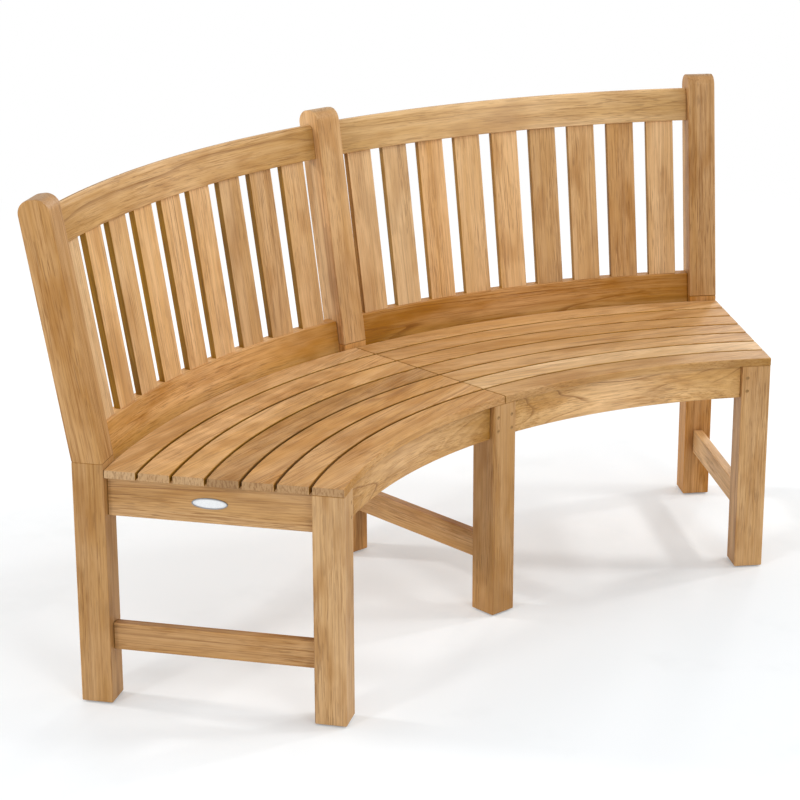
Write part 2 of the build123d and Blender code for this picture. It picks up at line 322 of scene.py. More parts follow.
@dataclass(frozen=True)
class Stations:
    """Where the sections of a board stand between its two ends, whose edges are rounded.

    At an end, with a running from 0 to a quarter turn, a section stands R (1 - cos a) short of
    the end and is drawn in by R (1 - sin a), so that it runs round a quarter circle.
    """

    share: np.ndarray
    inset: np.ndarray
    lean: np.ndarray
    start_gap: np.ndarray
    end_gap: np.ndarray

    @classmethod
    def between(
        cls, start_radius: float, end_radius: float, spans: int = 12, steps: int = 4
    ) -> "Stations":
        """Lay out the stations.

        Args:
            start_radius: Radius of the edges at the start.
            end_radius: Radius of the edges at the end.
            spans: How many spans lie between the two rounded ends.
            steps: How many sections make each rounded end.

        Returns:
            The stations.
        """
        angle = np.linspace(0, np.pi / 2, steps)
        short, drawn = 1 - np.cos(angle), 1 - np.sin(angle)
        middle = np.linspace(0, 1, spans + 1)[1:-1]
        still = np.zeros_like(middle)
        share = np.concatenate([np.zeros(steps), middle, np.ones(steps)])
        inset = np.concatenate([start_radius * drawn, still, end_radius * drawn[::-1]])
        lean = np.concatenate([-np.cos(angle), still, np.cos(angle)[::-1]])
        start_gap = np.full(share.shape, start_radius)
        start_gap[:steps] = start_radius * short
        end_gap = np.full(share.shape, end_radius)
        end_gap[-steps:] = end_radius * short[::-1]
        return cls(share, inset, lean, start_gap, end_gap)

    @property
    def level(self) -> np.ndarray:
        """Share of each normal that stays in the section's plane."""
        return np.sqrt(1 - self.lean**2)

    def sections(self, outline: Outline) -> np.ndarray:
        """Section at each station, drawn in by the station's inset."""
        return outline.points - self.inset[:, None, None] * outline.pulls

    def wear(self, outline: Outline) -> np.ndarray:
        """Wear and painted edge highlight at each station: the outline's own, and 1 on a rounded
        end.
        """
        return np.maximum(outline.ease, np.abs(self.lean)[:, None] > LEVEL_LEAN)


@dataclass(frozen=True)
class Surface:
    """Closed tube of sections, as one grid of points, normals, and wear with painted highlight."""

    points: np.ndarray
    normals: np.ndarray
    ease: np.ndarray

    def turned(self, angle: float) -> "Surface":
        """Turn to the right: x = X cos a + Y sin a and y = Y cos a - X sin a."""
        turn = directions(angle)
        return Surface(self.points @ turn, self.normals @ turn, self.ease)

    def sided(self, side: Side) -> "Surface":
        """Mirror image in the middle plane for the left side, and the surface itself otherwise."""
        flip = np.array([-1 if side is Side.LEFT else 1, 1, 1])
        return Surface(self.points * flip, self.normals * flip, self.ease)

    def faces(self, first: int = 0) -> list[list[int]]:
        """Quads between neighbouring sections and one face across each end.

        Args:
            first: Number of the surface's first vertex in its mesh.

        Returns:
            The faces as lists of vertex numbers, wound outwards.
        """
        rings, count = self.points.shape[:2]
        grid = np.arange(rings * count).reshape(rings, count)
        beside = np.roll(grid, -1, 1)
        quads = np.stack([grid[:-1], beside[:-1], beside[1:], grid[1:]], -1).reshape(-1, 4)
        corners = self.points.reshape(-1, 3)[quads]
        across = np.cross(corners[:, 2] - corners[:, 0], corners[:, 3] - corners[:, 1])
        outward = (across * self.normals.reshape(-1, 3)[quads[:, 0]]).sum() > 0
        ends = np.stack([grid[0, ::-1], grid[-1]])
        step = 1 if outward else -1
        return (quads[:, ::step] + first).tolist() + (ends[:, ::step] + first).tolist()


@dataclass(frozen=True)
class StraightPath:
    """Straight line that a section is carried along."""

    first: np.ndarray
    second: np.ndarray
    along: np.ndarray
    start: float
    end: float
    origin: Triple = (0.0, 0.0, 0.0)

    def carry(self, outline: Outline, stations: Stations) -> Surface:
        """Carry a section along the line.

        A point is origin + p first + q second + t along, with (p, q) on the drawn-in section
        and t = (1 - s) (start + start gap) + s (end - end gap).

        Args:
            outline: The section.
            stations: Where the sections stand.

        Returns:
            The surface.
        """
        section = stations.sections(outline)
        distance = (1 - stations.share) * (self.start + stations.start_gap)
        distance = distance + stations.share * (self.end - stations.end_gap)
        points = section[..., :1] * self.first + section[..., 1:] * self.second
        points = self.origin + points + distance[:, None, None] * self.along
        normals = outline.normals[:, :1] * self.first + outline.normals[:, 1:] * self.second
        normals = stations.level[:, None, None] * normals
        normals = normals + stations.lean[:, None, None] * self.along
        return Surface(points, normals, stations.wear(outline))


@dataclass(frozen=True)
class ArcPath:
    """Arc round the right bay, whose two ends are cut parallel to the frames."""

    start_inset: float
    end_inset: float

    def carry(self, outline: Outline, stations: Stations) -> Surface:
        """Carry a section of radius and height round the bay.

        The point at radius r stands at the angle
        (1 - s) asin((start inset + start gap) / r) + s (sweep + asin((end inset - end gap) / r)),
        so that each end is a plane parallel to its frame.

        Args:
            outline: The section.
            stations: Where the sections stand.

        Returns:
            The surface.
        """
        section = stations.sections(outline)
        radius, height = section[..., 0], section[..., 1]
        share = stations.share[:, None]
        first = np.arcsin((self.start_inset + stations.start_gap)[:, None] / radius)
        last = PLAN.sweep + np.arcsin((self.end_inset - stations.end_gap)[:, None] / radius)
        angle = (1 - share) * first + share * last
        sine, cosine = np.sin(angle), np.cos(angle)
        points = np.stack([radius * sine, radius * cosine, height], -1)
        level, lean = stations.level[:, None], stations.lean[:, None]
        outward, upward = level * outline.normals[:, 0], level * outline.normals[:, 1]
        parts = [outward * sine + lean * cosine, outward * cosine - lean * sine, upward]
        return Surface(points, np.stack(parts, -1), stations.wear(outline))


@dataclass(frozen=True)
class LogPlace:
    """Where a board's origin lay along, across and through its log, and how the board looks.

    The look is the tone and the warmth of the wood and the strength of its figure.
    """

    origin: np.ndarray
    look: np.ndarray


@dataclass
class Sawmill:
    """Hands out one place in a log after another, always the same ones for one seed."""

    seed: int = 11
    start: float = 40
    start_spread: float = 30
    pith_distance: float = 0.095
    pith_spread: float = 0.045
    swing_spread: float = 0.2
    tone_spread: float = 0.03
    warmth_spread: float = 0.25
    figure_spread: float = 0.15
    random: np.random.Generator = field(init=False)

    def __post_init__(self) -> None:
        """Start the random draws."""
        self.random = np.random.default_rng(self.seed)

    def place(self, cut: Cut, shade: Shade) -> LogPlace:
        """Draw a place: at the angle of the swing, a distance away from the pith.

        Args:
            cut: How the board is sawn.
            shade: Its shade, which the draw varies a little.

        Returns:
            The place in the log.
        """
        draw = self.random.uniform(-1, 1, 6)
        (swing, figure), (tone, warmth) = cut.value, shade.value
        distance = self.pith_distance + self.pith_spread * draw[0]
        swing += self.swing_spread * draw[1]
        across = distance * np.sin(swing) * np.sign(draw[5])
        along = self.start + self.start_spread * draw[2]
        tone += self.tone_spread * draw[3]
        warmth += self.warmth_spread * draw[4]
        figure += self.figure_spread * draw[1]
        origin = np.array([along, across, distance * np.cos(swing)])
        return LogPlace(origin, np.array([tone, warmth, figure]))


@dataclass(frozen=True)
class Grain:
    """Directions of a board: along its grain, across its face and through its thickness.

    The curl is how much the grain bends with a curved piece, as the reciprocal of a radius.
    """

    origin: np.ndarray
    along: np.ndarray
    across: np.ndarray
    through: np.ndarray
    curl: float = 0.0

    @classmethod
    def leaning(cls, angle: float, radius: float, height: float) -> "Grain":
        """Grain of a piece that leans back with the rake.

        Args:
            angle: Turn of the piece's plane to the right.
            radius: Radius of its origin.
            height: Height of its origin.

        Returns:
            The grain.
        """
        across, outward, up = directions(angle)
        lean, through = PLAN.leaning(outward, up)
        return cls(radius * outward + height * up, lean, across, through)

    def place(self, points: np.ndarray) -> np.ndarray:
        """Distances along, across and through the board, with curl along^2 / 2 added to the last.

        Args:
            points: Points round the arc's centre.

        Returns:
            The three distances of each point.
        """
        place = (points - self.origin) @ np.stack([self.along, self.across, self.through], 1)
        place[:, 2] += self.curl * place[:, 0] ** 2 / 2
        return place


class Workshop:
    """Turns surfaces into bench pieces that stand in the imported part's frame."""

    def __init__(self, mill: Sawmill, teak: bpy.types.Material) -> None:
        """Keep what every board needs.

        Args:
            mill: Gives each board its place in a log.
            teak: The finish of the boards.
        """
        self.mill = mill
        self.teak = teak

    def install(self, mesh: bpy.types.Mesh, node: str, slot: str) -> None:
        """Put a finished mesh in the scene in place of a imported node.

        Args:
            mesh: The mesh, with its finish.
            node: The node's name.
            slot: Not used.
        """
        mesh.polygons.foreach_set("use_smooth", np.ones(len(mesh.polygons), bool))
        piece = bpy.data.objects.new(mesh.name, mesh)
        bpy.context.scene.collection.objects.link(piece)
        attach(piece, "root")
        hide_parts(node)
        log.info("%s: %d faces", piece.name, len(mesh.polygons))

    def board(
        self,
        name: str,
        parts: Sequence[tuple[Surface, Grain]],
        cut: Cut,
        dark_and_shaded_sides: float = 0.0,
        dark_and_shaded_ends: Pair = (0.0, 0.0),
    ) -> None:
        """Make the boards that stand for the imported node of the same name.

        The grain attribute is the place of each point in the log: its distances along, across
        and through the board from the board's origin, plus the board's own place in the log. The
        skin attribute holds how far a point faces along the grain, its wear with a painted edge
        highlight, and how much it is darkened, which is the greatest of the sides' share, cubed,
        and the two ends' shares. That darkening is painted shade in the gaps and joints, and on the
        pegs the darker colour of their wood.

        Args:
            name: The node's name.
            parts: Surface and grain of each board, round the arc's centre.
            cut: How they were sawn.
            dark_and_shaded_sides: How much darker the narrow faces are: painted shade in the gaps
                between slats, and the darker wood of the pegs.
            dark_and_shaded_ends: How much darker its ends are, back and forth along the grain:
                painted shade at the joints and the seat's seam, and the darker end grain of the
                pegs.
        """
        place = self.mill.place(cut, SHADES.get(name, Shade.PLAIN))
        back, forth = dark_and_shaded_ends
        points, normals, faces, grains, skins = [], [], [], [], []
        for surface, grain in parts:
            faces += surface.faces(sum(map(len, points)))
            flat, normal = surface.points.reshape(-1, 3), surface.normals.reshape(-1, 3)
            points.append(flat + np.array([0, PLAN.centre_y, 0]))
            normals.append(normal)
            grains.append(grain.place(flat) + place.origin)
            facing, side = normal @ grain.along, np.abs(normal @ grain.across)
            # Sides and ends darkened here are painted shade in the gaps and joints; on the pegs
            # they are the wood's own darker tone.
            darkening_and_shade = np.max([dark_and_shaded_sides * side**3, -back * facing, forth * facing], 0)
            skins.append(np.stack([np.abs(facing), surface.ease.reshape(-1), darkening_and_shade], 1))
        mesh = bpy.data.meshes.new(f"{name}_board")
        mesh.from_pydata(np.concatenate(points).tolist(), [], faces)
        looks = [np.tile(place.look, (len(mesh.vertices), 1))]
        for title, values in (("grain", grains), ("skin", skins), ("look", looks)):
            attribute = mesh.attributes.new(title, "FLOAT_VECTOR", "POINT")
            flat = np.concatenate(values).astype(np.float32).reshape(-1)
            attribute.data.foreach_set("vector", flat)
        mesh.materials.append(self.teak)
        self.install(mesh, name, "teak")
        mesh.normals_split_custom_set_from_vertices(np.concatenate(normals).tolist())


@dataclass
class TimberFrame:
    """One frame of the bench: two legs, a post, a bearer under the seat and a low stretcher."""

    side: Side
    workshop: Workshop
    leg_edge: float = 0.0025
    # Painted shade on a leg's top end, where it meets the seat or the post.
    leg_top_shade: Pair = (0.0, 0.7)
    foot_edge: float = 0.002
    glide_thickness: float = 0.003
    post_top_radius: float = 0.0245
    post_foot: float = 0.008
    member_edge: float = 0.002
    bearer_thickness: float = 0.024
    bearer_height: float = 0.074
    stretcher_thickness: float = 0.020
    stretcher_height: float = 0.050
    stretcher_rise: float = 0.100

    @property
    def angle(self) -> float:
        """Turn of the frame's plane to the right."""
        return self.side.value * PLAN.sweep

    @property
    def title(self) -> str:
        """First words of the names of the frame's pieces."""
        return {Side.LEFT: "left_end", Side.MIDDLE: "middle", Side.RIGHT: "right_end"}[self.side]

    def leg(self, name: str, front: float, top: float) -> None:
        """Build a leg: its rounded square section carried up from the glide to its top.

        Args:
            name: The rest of its name.
            front: Radius of its front face.
            top: Height of its top.
        """
        half, edge = PLAN.half_leg, self.leg_edge
        outline = Outline.bar((-half, half), (front, front + PLAN.leg_depth), edge, edge)
        path = StraightPath(ACROSS, OUTWARD, UP, self.glide_thickness, top)
        surface = path.carry(outline, Stations.between(self.foot_edge, PLAN.joint_edge))
        across, outward, up = directions(self.angle)
        grain = Grain((front + PLAN.leg_depth / 2) * outward, up, across, outward)
        parts = [(surface.turned(self.angle), grain)]
        # Painted shade on the leg's top end.
        self.workshop.board(f"{self.title}_{name}", parts, Cut.RIFT, dark_and_shaded_ends=self.leg_top_shade)

    def post(self) -> None:
        """Build the post: its side outline carried across the frame's plane.

        The outline stands square to the rake, with both upper corners rounded, and its foot is
        level. Near the foot the section is drawn in level with the joint, not square to its edge.
        """
        front, foot = PLAN.rear_leg_front, PLAN.joint_height
        top = PLAN.rake_height(0, PLAN.overall_height + PLAN.corner_loss(self.post_top_radius))
        rear_top = PLAN.raked(PLAN.leg_depth * PLAN.cosine, top)
        corners = [(front, foot), (front + PLAN.leg_depth, foot), rear_top, PLAN.raked(0, top)]
        radii = [PLAN.joint_edge] * 2 + [self.post_top_radius] * 2
        outline = Outline.polygon(corners, radii, steps=12)
        low = outline.points[:, 1:] < foot + self.post_foot
        seatward = outline.points[:, :1] < front + PLAN.leg_depth / 2
        level = np.where(seatward, [[-1 / PLAN.cosine, 0]], [[1 / PLAN.cosine, 0]])
        outline = replace(outline, pulls=np.where(low, level, outline.normals))
        path = StraightPath(OUTWARD, UP, ACROSS, -PLAN.half_leg, PLAN.half_leg)
        stations = Stations.between(self.leg_edge, self.leg_edge, spans=2, steps=6)
        surface = path.carry(outline, stations).turned(self.angle)
        parts = [(surface, Grain.leaning(self.angle, front, 0.0))]
        self.workshop.board(f"{self.title}_post", parts, Cut.RIFT)

    def member(self, name: str, thickness: float, low: float, height: float, cut: Cut) -> None:
        """Build a straight member between the legs.

        Args:
            name: Its name.
            thickness: Its thickness.
            low: Height of its underside.
            height: Its height.
            cut: How its board is sawn.
        """
        half, edge = thickness / 2, self.member_edge
        outline = Outline.bar((-half, half), (low, low + height), edge, edge)
        start = PLAN.front_radius + PLAN.leg_depth
        path = StraightPath(ACROSS, UP, OUTWARD, start, PLAN.rear_leg_front)
        surface = path.carry(outline, Stations.between(PLAN.joint_edge, PLAN.joint_edge))
        across, outward, up = directions(self.angle)
        parts = [(surface.turned(self.angle), Grain((low + height / 2) * up, outward, up, across))]
        # Painted shade on both ends, where the member meets the legs.
        self.workshop.board(name, parts, cut, dark_and_shaded_ends=PLAN.joint_shade)

    def build(self) -> None:
        """Build every piece of the frame."""
        self.leg("front_leg", PLAN.front_radius, PLAN.seat_underside)
        self.leg("rear_leg", PLAN.rear_leg_front, PLAN.joint_height)
        self.post()
        middle = self.side is Side.MIDDLE
        name = "middle_bearer" if middle else f"{self.side.name.lower()}_side_apron"
        low = PLAN.seat_underside - self.bearer_height
        self.member(name, self.bearer_thickness, low, self.bearer_height, Cut.STRIPED)
        name, low = f"{self.title}_stretcher", self.stretcher_rise
        self.member(name, self.stretcher_thickness, low, self.stretcher_height, Cut.RIFT)


@dataclass
class CurvedBay:
    """One bay between two frames: aprons, seat slats, back rails and back slats."""

    side: Side
    workshop: Workshop
    edge: float = 0.002
    arc_spans: int = 56
    apron_thickness: float = 0.027
    apron_curl: float = 0.3
    front_apron_height: float = 0.068
    front_apron_recess: float = 0.011
    rear_apron_height: float = 0.074
    seat_edge: float = 0.0025
    seat_hidden_edge: float = 0.0008
    seam_edge: float = 0.0013
    seam_gap: float = 0.001
    # Painted shade on the seat slats' narrow sides, lighter on the front slat, and on their ends at
    # the seam over the middle frame.
    front_slat_shade: float = 0.1
    gap_shade: float = 1.9
    rail_thickness: float = 0.027
    rail_recess: float = 0.017
    rail_curl: float = 0.9
    top_rail_height: float = 0.068
    top_rail_drop: float = 0.029
    nose_radius: float = 0.011
    bottom_rail_rise: float = 0.055
    back_slat_count: int = 9
    back_slat_width: float = 0.059
    back_slat_thickness: float = 0.013
    back_slat_edge: float = 0.0015
    back_slat_housing: float = 0.012
    # Painted shade on the back slats' narrow sides, in the gaps between them.
    back_slat_gap_shade: float = 1.6
    back_slat_cuts: tuple[Cut, ...] = (Cut.QUARTER, Cut.FLAT, Cut.RIFT)

    @property
    def title(self) -> str:
        """First word of the names of the bay's pieces."""
        return self.side.name.lower()

    @property
    def middle(self) -> float:
        """Angle of the middle of the bay."""
        return self.side.value * PLAN.sweep / 2

    @property
    def top_rail_top(self) -> float:
        """Place of the top rail's top up the rake."""
        height = PLAN.overall_height - self.top_rail_drop + PLAN.corner_loss(self.nose_radius)
        return PLAN.rake_height(self.rail_recess, height)

    def between_frames(self, name: str, outline: Outline, cut: Cut, curl: float) -> None:
        """Build a curved member that ends at the frames' sides.

        Args:
            name: The rest of its name.
            outline: Its section of radius and height.
            cut: How its board is sawn.
            curl: Share of its bend that the grain follows.
        """
        stations = Stations.between(PLAN.joint_edge, PLAN.joint_edge, self.arc_spans)
        surface = ArcPath(PLAN.half_leg, -PLAN.half_leg).carry(outline, stations)
        radius, height = outline.points.mean(0)
        across, outward, up = directions(self.middle)
        grain = Grain(radius * outward + height * up, across, up, outward, curl / radius)
        parts = [(surface.sided(self.side), grain)]
        # Painted shade on both ends, where the member meets the frames' legs and posts.
        self.workshop.board(f"{self.title}_{name}", parts, cut, dark_and_shaded_ends=PLAN.joint_shade)

    def aprons(self) -> None:
        """Build the two curved aprons under the seat."""
        front = PLAN.front_radius + self.front_apron_recess
        rear = PLAN.rear_leg_front + self.rail_recess
        top = PLAN.seat_underside
        for name, inner, height in (
            ("front_apron", front, self.front_apron_height),
            ("rear_apron", rear, self.rear_apron_height),
        ):
            limits = (inner, inner + self.apron_thickness)
            outline = Outline.bar(limits, (top - height, top), self.edge, PLAN.joint_edge)
            self.between_frames(name, outline, Cut.WAVY, self.apron_curl)

    def rails(self) -> None:
        """Build the top rail, with its rounded nose, and the bottom rail."""
        inner, outer = self.rail_recess, self.rail_recess + self.rail_thickness
        high, low = self.top_rail_top, self.top_rail_top - self.top_rail_height
        places = ((inner, low), (outer, low), (outer, high), (inner, high))
        corners = [PLAN.raked(*place) for place in places]
        radii = [self.edge, self.edge, self.nose_radius, self.nose_radius]
        outline = Outline.polygon(corners, radii, steps=9)
        self.between_frames("top_back_rail", outline, Cut.FLAT, self.rail_curl)
        foot, head = PLAN.seat_underside, PLAN.seat_height + self.bottom_rail_rise
        places = ((inner, foot), (outer, foot), (outer, head), (inner, head))
        corners = [PLAN.raked(inset, PLAN.rake_height(inset, height)) for inset, height in places]
        outline = Outline.polygon(corners, [PLAN.joint_edge] * 2 + [self.edge] * 2)
        cut = Cut.WAVY if self.side is Side.RIGHT else Cut.FLAT
        self.between_frames("bottom_back_rail", outline, cut, self.rail_curl)

    def seat_slats(self) -> None:
        """Build the curved seat slats, from the middle frame to the end frame's outer face."""
        path = ArcPath(self.seam_gap / 2, PLAN.half_leg)
        stations = Stations.between(self.seam_edge, self.seat_hidden_edge, self.arc_spans)
        across, outward, up = directions(self.middle)
        # Painted shade on the slat ends that meet at the seam over the middle frame.
        seam = self.gap_shade
        dark_and_shaded_ends = (seam, 0.0) if self.side is Side.RIGHT else (0.0, seam)
        levels = (PLAN.seat_underside, PLAN.seat_height)
        for index in range(PLAN.slat_count):
            front = PLAN.slat_front(index)
            limits = (front, front + PLAN.slat_width)
            outline = Outline.bar(limits, levels, self.seat_hidden_edge, self.seat_edge)
            surface = path.carry(outline, stations).sided(self.side)
            origin = (front + PLAN.slat_width / 2) * outward + PLAN.seat_underside * up
            parts = [(surface, Grain(origin, across, outward, up))]
            name = f"{self.title}_seat_slat_{index + 1}"
            # Painted shade on the narrow sides in the gaps between slats, lighter on the front
            # slat.
            darkening_and_shade = self.gap_shade if index else self.front_slat_shade
            self.workshop.board(name, parts, Cut.FLAT, darkening_and_shade, dark_and_shaded_ends)

    def back_slats(self) -> None:
        """Build the flat back slats, which leave equal gaps along the arc.

        Their pitch is the arc between the posts, less the slats, shared among one gap more than
        there are slats, plus one slat.
        """
        inset = self.rail_recess + self.rail_thickness / 2
        low = PLAN.rake_height(self.rail_recess, PLAN.seat_height + self.bottom_rail_rise)
        high = self.top_rail_top - self.top_rail_height
        radius = PLAN.raked(inset, (low + high) / 2)[0]
        free = radius * PLAN.sweep - PLAN.leg_width - self.back_slat_count * self.back_slat_width
        pitch = free / (self.back_slat_count + 1) + self.back_slat_width
        half, thick = self.back_slat_width / 2, self.back_slat_thickness / 2
        edge = self.back_slat_edge
        outline = Outline.bar((-half, half), (-thick, thick), edge, edge)
        base, height = PLAN.raked(inset, 0)
        lean, through = PLAN.leaning(OUTWARD, UP)
        low, high = low - self.back_slat_housing, high + self.back_slat_housing
        path = StraightPath(ACROSS, through, lean, low, high, (0.0, base, height))
        flat = path.carry(outline, Stations.between(PLAN.joint_edge, PLAN.joint_edge, spans=10))
        for index in range(self.back_slat_count):
            angle = self.side.value * (PLAN.half_leg + pitch * (index + 1) - half) / radius
            parts = [(flat.turned(angle), Grain.leaning(angle, base, height))]
            cut = self.back_slat_cuts[index % len(self.back_slat_cuts)]
            name = f"{self.title}_back_slat_{index + 1}"
            # Painted shade on the slat's narrow sides, in the gaps.
            self.workshop.board(name, parts, cut, self.back_slat_gap_shade)

    def build(self) -> None:
        """Build every piece of the bay."""
        self.aprons()
        self.rails()
        self.seat_slats()
        self.back_slats()


class Tree:
    """Adds nodes to one material, or to the background, and joins them."""

    def __init__(self, owner: bpy.types.Material | bpy.types.World) -> None:
        """Start with the nodes that a new owner has.

        Args:
            owner: The material or background.
        """
        owner.use_nodes = True
        self.owner = owner
        self.nodes, self.links = owner.node_tree.nodes, owner.node_tree.links

    def feed(self, node: bpy.types.Node | str, values: dict[int | str, object]) -> None:
        """Join inputs of a node to other nodes' sockets, or set their values.

        Args:
            node: The node, or its name.
            values: A socket or plain value for the number or name of each input.
        """
        node = self.nodes[node] if isinstance(node, str) else node
        for key, value in values.items():
            if isinstance(value, Socket):
                self.links.new(value, node.inputs[key])
            else:
                node.inputs[key].default_value = value

    def add(
        self, kind: str, values: dict[int | str, object] | None = None, **settings: object
    ) -> bpy.types.Node:
        """Add a node.

        Args:
            kind: Its type.
            values: What its inputs are fed.
            settings: Its properties.

        Returns:
            The node.
        """
        node = self.nodes.new(kind)
        for name, value in settings.items():
            setattr(node, name, value)
        self.feed(node, values or {})
        return node

    def math(self, operation: str, *values: object) -> Socket:
        """Work out a number from up to three others."""
        return self.add("ShaderNodeMath", dict(enumerate(values)), operation=operation).outputs[0]

    def product(self, *values: object) -> Socket:
        """Multiply numbers."""
        return reduce(lambda first, second: self.math("MULTIPLY", first, second), values)

    def vector(self, operation: str, values: dict[int | str, object]) -> Socket:
        """Work out a vector from others."""
        return self.add("ShaderNodeVectorMath", values, operation=operation).outputs[0]

    def attribute(self, name: str) -> bpy.types.Node:
        """Read an attribute of the piece."""
        return self.add("ShaderNodeAttribute", attribute_name=name)

    def place(self) -> Socket:
        """Place of a point on its piece, in metres."""
        return self.add("ShaderNodeTexCoord").outputs["Object"]

    def split(self, vector: Socket) -> Sequence[Socket]:
        """Split a vector into its three numbers."""
        return list(self.add("ShaderNodeSeparateXYZ", {0: vector}).outputs)

    def noise(
        self, vector: Socket, scale: Triple, detail: float = 2, rough: float = 0.5
    ) -> bpy.types.Node:
        """Add a noise pattern stretched along each direction.

        Args:
            vector: The coordinates.
            scale: How often the pattern repeats in a metre, along each direction.
            detail: Its octaves.
            rough: How strong the finer octaves are.

        Returns:
            The noise node.
        """
        stretched = self.add("ShaderNodeMapping", {"Vector": vector, "Scale": scale}).outputs[0]
        values = {"Vector": stretched, "Scale": 1, "Detail": detail, "Roughness": rough}
        return self.add("ShaderNodeTexNoise", values)

    def span(self, value: Socket, low: float, high: float, start: float, end: float) -> Socket:
        """Carry a number smoothly from one span, low to high, to another, start to end."""
        values = dict(enumerate((value, low, high, start, end)))
        return self.add("ShaderNodeMapRange", values, interpolation_type="SMOOTHSTEP").outputs[0]

    def blend(self, share: Socket, first: Socket | Colour, second: Socket | Colour) -> Socket:
        """Mix two colours, which are the node's inputs 6 and 7 and its output 2."""
        values = {0: share, 6: first, 7: second}
        return self.add("ShaderNodeMix", values, data_type="RGBA").outputs[2]

    def bump(self, height: Socket, distance: float, strength: float) -> None:
        """Raise the shader's surface by a pattern."""
        values = {"Height": height, "Distance": distance, "Strength": strength}
        self.feed("Principled BSDF", {"Normal": self.add("ShaderNodeBump", values).outputs[0]})


@dataclass(frozen=True)
class TeakFinish:
    """Sanded, lightly oiled teak, worked out in the log that each board was sawn from.

    A scale is how often a pattern repeats in a metre along, across and through the log.
    """

    pale: Colour = (0.69, 0.43, 0.205, 1)
    golden: Colour = (0.59, 0.335, 0.125, 1)
    amber: Colour = (0.45, 0.222, 0.064, 1)
    tan: Colour = (0.41, 0.225, 0.090, 1)
    brown: Colour = (0.29, 0.14, 0.05, 1)
    fibre: Colour = (0.32, 0.143, 0.034, 1)
    vein: Colour = (0.15, 0.066, 0.022, 1)
    end_grain: Colour = (0.42, 0.27, 0.14, 1)
    ring_spacing: float = 0.0060
    ring_wander: float = 2.6
    bend_scale: Triple = (1.3, 7, 7)
    bend_reach: Triple = (0, 0.04, 0.04)
    growth_scale: Triple = (0.15, 26, 26)
    band_scale: Triple = (0.9, 26, 26)
    stripe_scale: Triple = (0.8, 150, 150)
    cloud_scale: Triple = (6, 19, 19)
    patch_scale: Triple = (3.5, 24, 24)
    fibre_scale: Triple = (11, 380, 380)
    pore_scale: Triple = (26, 480, 480)
    hatch_scale: Triple = (4, 330, 90)
    relief: float = 0.0003
    sheen: float = 0.3
    # Lightening of worn edges, which also stands in for a painted highlight.
    edge_highlight_and_wear_gain: float = 0.05
    # How much the skin's third value takes off the value and adds saturation: painted shade in the
    # gaps and joints, and the pegs' darker wood.
    darkening_and_shade_loss: float = -0.36
    darkening_and_shade_richness: float = 0.22
    warmth_richness: float = 0.07
    warmth_hue: float = -0.0035

    def bent(self, tree: Tree, grain: Socket, figure: Socket) -> Socket:
        """Bend the log's grain sideways with a slow noise, up to 20 mm where the figure is 1.

        Args:
            tree: The material's nodes.
            grain: The place in the log.
            figure: How strong the board's figure is.

        Returns:
            The place in the bent log.
        """
        noise = tree.noise(grain, self.bend_scale, 2, 0.45).outputs["Color"]
        centred = tree.vector("SUBTRACT", {0: noise, 1: (0.5, 0.5, 0.5)})
        sized = tree.vector("SCALE", {0: centred, "Scale": figure})
        return tree.vector("MULTIPLY_ADD", {0: sized, 1: self.bend_reach, 2: grain})

    def rings(self, tree: Tree, bent: Socket) -> tuple[Socket, Socket]:
        """Growth rings round the pith.

        Each ring starts with a dark line, whose depth changes at random from ring to ring, and
        darkens slowly again towards its end.

        Args:
            tree: The material's nodes.
            bent: The place in the bent log.

        Returns:
            The dark lines and the slow darkening, each from 0 to 1.
        """
        squares = [tree.math("POWER", part, 2) for part in tree.split(bent)[1:]]
        radius = tree.math("SQRT", tree.math("ADD", *squares))
        growth = tree.noise(bent, self.growth_scale, 1).outputs[0]
        even = tree.math("DIVIDE", radius, self.ring_spacing)
        turns = tree.math("MULTIPLY_ADD", growth, self.ring_wander, even)
        number, ring = tree.math("FLOOR", turns), tree.math("FRACT", turns)
        chance = tree.add("ShaderNodeTexWhiteNoise", {"W": number}, noise_dimensions="1D")
        depth = tree.span(chance.outputs["Value"], 0.35, 0.85, 0.15, 1)
        line = tree.product(tree.span(ring, 0.02, 0.26, 1, 0), depth)
        return line, tree.span(ring, 0.35, 1, 0, 1)

    def material(self) -> bpy.types.Material:
        """Build the finish.

        Flat boards show the rings as arches, quartered ones as straight lines, and ends as arcs.
        Bands and stripes of colour run along the grain, clouds of amber and pale wood lie over
        them, and fibres and pores run through everything. Each colour is laid over the ones
        before it, as far as its pattern says.

        Returns:
            The material.
        """
        tree = Tree(bpy.data.materials.new("teak"))
        grain, skin, look = (tree.attribute(n).outputs["Vector"] for n in ("grain", "skin", "look"))
        end, ease, dark = tree.split(skin)
        tone, warmth, figure = tree.split(look)
        bent = self.bent(tree, grain, figure)
        line, late = self.rings(tree, bent)
        bands = tree.noise(bent, self.band_scale, 3, 0.6).outputs[0]
        stripes = tree.noise(bent, self.stripe_scale, 2, 0.6).outputs[0]
        clouds = tree.split(tree.noise(grain, self.cloud_scale, 2, 0.6).outputs["Color"])
        patches = tree.split(tree.noise(grain, self.patch_scale, 2, 0.6).outputs["Color"])
        fibres = tree.noise(grain, self.fibre_scale, 3, 0.78).outputs[0]
        pores = tree.span(tree.noise(grain, self.pore_scale, 1).outputs[0], 0.57, 0.66, 0, 1)
        saw_marks = tree.noise(grain, self.hatch_scale, 2, 0.7).outputs[0]
        hatch = tree.span(saw_marks, 0.46, 0.62, 0, 0.6)
        coarse = tree.span(patches[0], 0.38, 0.62, 0.35, 1)
        drawn = tree.math("MULTIPLY_ADD", figure, 0.75, 0.12)
        colour = tree.blend(tree.span(bands, 0.34, 0.64, 0, 1), self.pale, self.golden)
